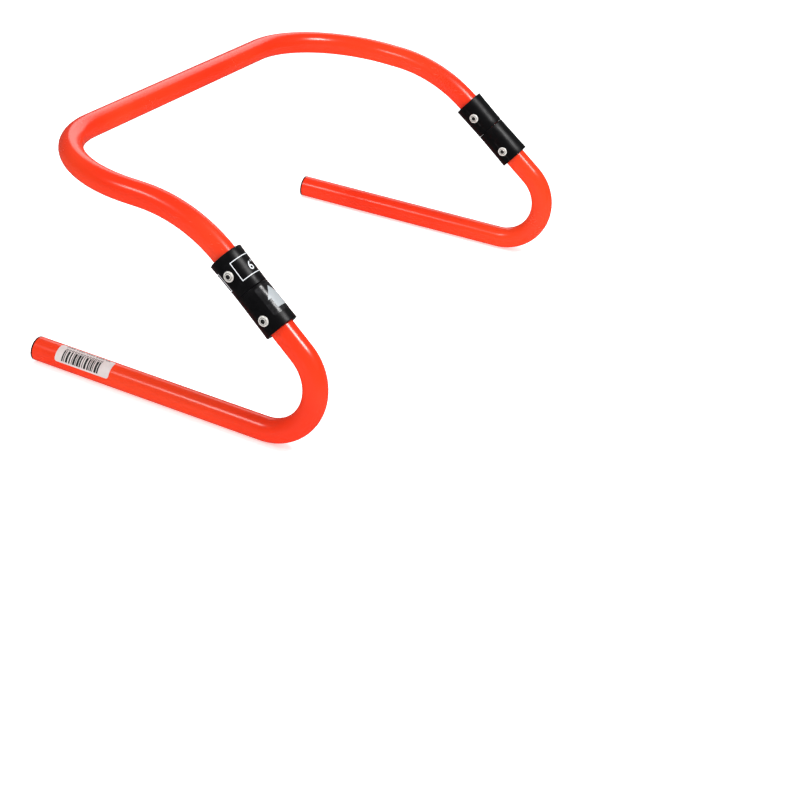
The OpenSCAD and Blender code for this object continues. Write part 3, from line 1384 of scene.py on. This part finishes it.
@dataclass
class PaperLabel:
    """The paper label round a foot's tip, with plain bars, ticks and dashes of no code."""

    place: TipPlace
    tube_radius: float = 9.5 * MM
    from_tip: float = 22.5 * MM
    length: float = 49.0 * MM
    wrap_angle: float = 96.0
    middle_turn: float = -40.0
    corner: float = 2.2 * MM
    thickness: float = 0.12 * MM
    lift: float = 0.03 * MM
    ink_thickness: float = 0.02 * MM
    strip: float = 0.7 * MM
    bar_module: float = 0.62 * MM
    bars_from: float = 6.0 * MM
    bars_to: float = 40.0 * MM
    bar_length: float = 9.1 * MM
    bar_middle: float = -2.0 * MM
    tick_middle: float = 3.7 * MM
    tick_size: tuple[float, float] = (1.9 * MM, 0.55 * MM)
    tick_offset: float = 0.55 * MM
    tick_pairs: int = 13
    gap_share: float = 0.9
    dash_middle: float = 6.7 * MM
    dash_size: float = 1.1 * MM
    dashes_from: float = 5.0 * MM
    dashes_margin: float = 6.0 * MM
    dash_gap: float = 0.45 * MM
    word_gap: float = 1.6 * MM
    sharp: float = 30.0

    @property
    def width(self) -> float:
        """The label's size round the tube."""
        return arc_length(self.wrap_angle, self.tube_radius)

    def build(self, paper: bpy.types.Material, ink: bpy.types.Material) -> None:
        """Models and dresses the paper and its print.

        Args:
            paper: The paper's finish.
            ink: The print's finish.
        """
        sheet = Piece.sheet("label_sheet", self.width, self.length)
        sheet.round_corners(self.corner, 6)
        self._on_foot(sheet, self.thickness, self.lift)
        sheet.finish("right_foot", "label_paper", paper, ["barcode_label"])
        ink_lift = self.lift + self.thickness + 0.004 * MM
        for piece in (self._bars(), self._ticks(), self._dashes()):
            self._on_foot(piece, self.ink_thickness, ink_lift)
            piece.finish("right_foot", "label_paper", ink)

    def _on_foot(self, piece: Piece, thickness: float, lift: float) -> None:
        """Wraps a flat piece round the foot's tip."""
        piece.slice(Vector((1, 0, 0)), self.strip)
        piece.wrap(lambda height: self.tube_radius, lift)
        piece.apply("SOLIDIFY", thickness=thickness, offset=1.0)
        piece.smooth(self.sharp)
        piece.move(Vector((0, 0, -self.from_tip - self.length / 2)))
        piece.spin(self.middle_turn, "Z")
        piece.put(self.place.matrix)

    def _stamp(self, name: str, across: float, along: float, width: float, high: float) -> Piece:
        """One small printed rectangle, still flat.

        Args:
            name: Its name.
            across: Its middle's place round the tube.
            along: Its middle's distance from the label's end at the tip.
            width: Its size round the tube.
            high: Its size along the tube.

        Returns:
            The piece.
        """
        mark = Piece.sheet(name, width, high)
        mark.move(Vector((across, self.length / 2 - along, 0)))
        return mark

    def _bars(self) -> Piece:
        """Bars of one to three modules, in an order that codes nothing."""
        bars = []
        spot = self.bars_from
        golden = (math.sqrt(5.0) - 1.0) / 2.0
        while spot < self.bars_to:
            count = len(bars) + 1
            share = (count * golden) % 1.0
            wide = (1 + int(share * 3)) * self.bar_module
            gap = (1 + int((share * 7) % 2)) * self.bar_module * self.gap_share
            bars.append(
                self._stamp(
                    f"label_bar_{count}", self.bar_middle, spot + wide / 2, self.bar_length, wide
                )
            )
            spot += wide + gap
        return bars[0].join(bars[1:], "label_bars")

    def _ticks(self) -> Piece:
        """A row of short paired ticks beside the bars, in place of figures."""
        pitch = (self.bars_to - self.bars_from) / self.tick_pairs
        ticks = [
            self._stamp(
                f"label_tick_{i}",
                self.tick_middle,
                self.bars_from + pitch * (i + 0.5) + offset,
                *self.tick_size,
            )
            for i in range(self.tick_pairs)
            for offset in (-self.tick_offset, self.tick_offset)
        ]
        return ticks[0].join(ticks[1:], "label_ticks")

    def _dashes(self) -> Piece:
        """A broken line along the inner edge, in place of words."""
        dashes = []
        spot = self.dashes_from
        while spot < self.length - self.dashes_margin:
            count = len(dashes)
            wide = (1.1 + 0.8 * math.sin(count * 2.3) ** 2) * MM
            dashes.append(
                self._stamp(
                    f"label_dash_{count}", self.dash_middle, spot + wide / 2, self.dash_size, wide
                )
            )
            spot += wide + (self.word_gap if count % 4 == 3 else self.dash_gap)
        return dashes[0].join(dashes[1:], "label_dashes")


# --- Studio ---


@dataclass(frozen=True)
class Panel:
    """A soft panel of light that glossy surfaces show."""

    name: str
    place: tuple[float, float, float]
    size: tuple[float, float]
    power: float


@dataclass
class Studio:
    """Floor, soft lights and the camera."""

    sky: float = 0.12
    fill: float = 1.75
    fill_spread: float = 150.0
    fill_from: tuple[float, float, float] = (0.35, 0.15, 1.0)
    panels: tuple[Panel, ...] = (
        Panel("key", (0.05, 1.3, 1.9), (0.60, 0.40), 34.0),
        Panel("foot_strip", (1.45, -0.82, 1.47), (0.45, 0.30), 9.0),
        Panel("far_panel", (-2.2, -0.9, 1.35), (2.2, 1.2), 15.0),
    )
    floor_size: float = 30.0
    azimuth: float = 110.7
    elevation: float = 26.98
    roll: float = 7.77
    distance: float = 1.2563
    aim_past_corner: tuple[float, float] = (0.0145, 0.065)
    aim_height: float = 0.08
    lens: float = 82.55
    sensor: float = 36.0

    def build(self, high: Vector) -> None:
        """Makes the floor, lights and camera.

        Args:
            high: The highest corner of the object.
        """
        self._floor()
        self._lights()
        self._camera(high)
        bpy.context.scene.view_settings.view_transform = "Standard"
        log.info("studio built")

    def _floor(self) -> None:
        """A large plain floor."""
        clear_bench()
        bpy.ops.mesh.primitive_plane_add(size=self.floor_size, location=(0, 0, 0))
        floor = bpy.context.active_object
        floor.name = "floor"
        floor.data.materials.append(FloorFinish().make())
        floor.visible_glossy = False
        floor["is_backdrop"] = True

    def _lamp(self, name: str, kind: str, place: Vector, energy: float) -> bpy.types.Object:
        """One lamp that faces the object.

        Args:
            name: The lamp's name.
            kind: Its type.
            place: Where it hangs.
            energy: Its power in watts, or for a sun its strength.

        Returns:
            The lamp.
        """
        data = bpy.data.lights.new(name, kind)
        data.energy = energy
        lamp = bpy.data.objects.new(name, data)
        bpy.context.scene.collection.objects.link(lamp)
        lamp.location = place
        lamp.rotation_euler = (-place).to_track_quat("-Z", "Y").to_euler()
        return lamp

    def _lights(self) -> None:
        """A dim sky, an even fill that glossy surfaces don't show, and panels that they do."""
        world = bpy.data.worlds.new("studio_sky")
        bpy.context.scene.world = world
        world.use_nodes = True
        sky = world.node_tree.nodes["Background"]
        sky.inputs["Color"].default_value = (1.0, 1.0, 1.0, 1.0)
        sky.inputs["Strength"].default_value = self.sky
        fill = self._lamp("fill", "SUN", Vector(self.fill_from), self.fill)
        fill.data.angle = math.radians(self.fill_spread)
        fill.visible_glossy = False
        for panel in self.panels:
            lamp = self._lamp(panel.name, "AREA", Vector(panel.place), panel.power)
            lamp.data.shape = "RECTANGLE"
            lamp.data.size, lamp.data.size_y = panel.size

    def _camera(self, high: Vector) -> None:
        """The camera, which looks down across the marked leg."""
        turn, rise = math.radians(self.azimuth), math.radians(self.elevation)
        forward = Vector(
            (-math.sin(turn) * math.cos(rise), math.cos(turn) * math.cos(rise), -math.sin(rise))
        )
        aim = Vector(
            (high.x + self.aim_past_corner[0], high.y + self.aim_past_corner[1], self.aim_height)
        )
        data = bpy.data.cameras.new("camera")
        data.lens = self.lens
        data.sensor_width = self.sensor
        data.clip_start, data.clip_end = 0.01, 100.0
        camera = bpy.data.objects.new("camera", data)
        bpy.context.scene.collection.objects.link(camera)
        level = forward.to_track_quat("-Z", "Y").to_matrix()
        camera.matrix_world = Matrix.Translation(aim - forward * self.distance) @ (
            level @ Matrix.Rotation(math.radians(self.roll), 3, "Z")
        ).to_4x4()
        bpy.context.scene.camera = camera


def main() -> None:
    """Builds the hurdle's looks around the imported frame."""
    logging.basicConfig(level=logging.INFO, format="%(message)s")
    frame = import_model()
    cad_low, cad_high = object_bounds()
    paints = Paints()
    dress_frame(frame["nodes"], paints)

    joints = {joint["name"]: joint for joint in frame["joints"]}
    mounts = {mount["name"]: mount for mount in frame["record"]["mounts"]}
    for side in Side:
        place = LegPlace.from_joint(side, joints[f"{side.word}_foot_turn"])
        leg = LegJoint(place, paints)
        leg.build()
        tip = TipPlace.from_mount(mounts[f"{side.word}_foot_pin"], EndCap.rim)
        EndCap(tip, side).build(paints.cap)
        if side is Side.RIGHT:
            HeightMarks(leg, paints).build()
            PaperLabel(tip).build(paints.label, paints.black_ink)

    Studio().build(cad_high)


if __name__ == "__main__":
    main()
